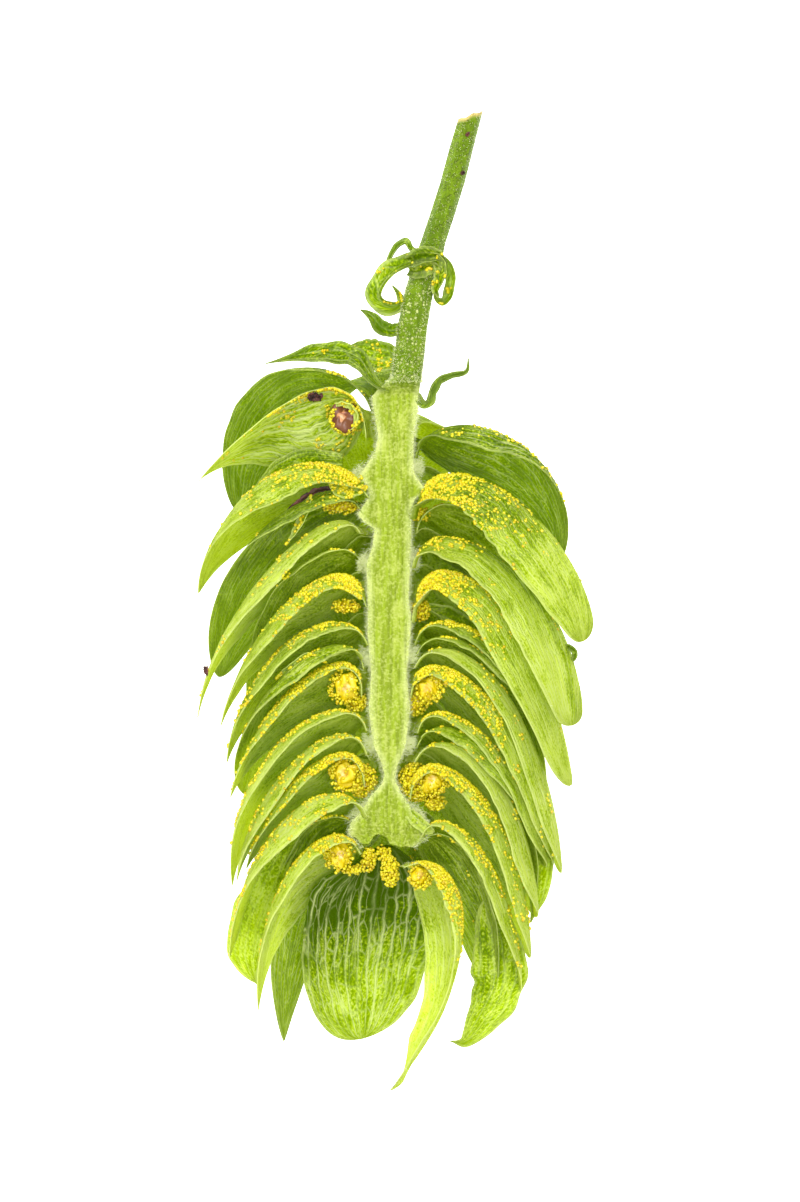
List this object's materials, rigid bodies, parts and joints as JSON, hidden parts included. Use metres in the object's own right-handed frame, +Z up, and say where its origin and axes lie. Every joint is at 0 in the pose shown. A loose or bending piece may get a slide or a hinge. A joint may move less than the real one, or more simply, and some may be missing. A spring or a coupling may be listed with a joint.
{
  "type": "halved hop cone",
  "caption": "Hop cone cut in half lengthwise, with its curved bracts fanned along the pale cut strig and a short stalk; it lies cut face up.",
  "frame": {"origin": "middle of the underside, on the surface that the half cone lies on", "axes": "+X to the right of the cone, +Y from the cone's tip towards its stalk, +Z up out of the cut face"},
  "size_m": [0.0214, 0.054, 0.0111],
  "materials": {
    "stem": "matte",
    "bract": "satin",
    "small_leaf": "satin",
    "ovary": "matte",
    "seed": "matte"
  },
  "bodies": {
    "root": {"bract_back_01": "bract", "bract_back_02": "bract", "bract_back_03": "bract", "bract_back_04": "bract", "bract_back_05": "bract", "bract_back_06": "bract", "bract_back_07": "bract", "bract_back_08": "bract", "bract_back_left_01": "bract", "bract_back_left_02": "bract", "bract_back_left_03": "bract", "bract_back_left_04": "bract", "bract_back_left_05": "bract", "bract_back_right_01": "bract", "bract_back_right_02": "bract", "bract_back_right_03": "bract", "bract_back_right_04": "bract", "bract_back_right_05": "bract", "bract_left_01": "bract", "bract_left_02": "bract", "bract_left_03": "bract", "bract_left_04": "bract", "bract_left_05": "bract", "bract_left_06": "bract", "bract_left_07": "bract", "bract_left_08": "bract", "bract_left_09": "bract", "bract_left_10": "bract", "bract_left_11": "bract", "bract_right_01": "bract", "bract_right_02": "bract", "bract_right_03": "bract", "bract_right_04": "bract", "bract_right_05": "bract", "bract_right_06": "bract", "bract_right_07": "bract", "bract_right_08": "bract", "bract_right_09": "bract", "bract_right_10": "bract", "bract_tip_long": "bract", "bract_tip_wide": "bract", "collar_curl_left": "small_leaf", "collar_curl_right": "small_leaf", "collar_curl_top": "small_leaf", "curl_right_thin": "small_leaf", "leaf_left_pointed": "small_leaf", "leaf_left_small": "small_leaf", "leaf_stalk": "small_leaf", "ovary_left_1": "ovary", "ovary_left_2": "ovary", "ovary_left_3": "ovary", "ovary_right_1": "ovary", "ovary_right_2": "ovary", "ovary_right_3": "ovary", "seed": "seed", "stem": "stem"}
  },
  "joints": []
}
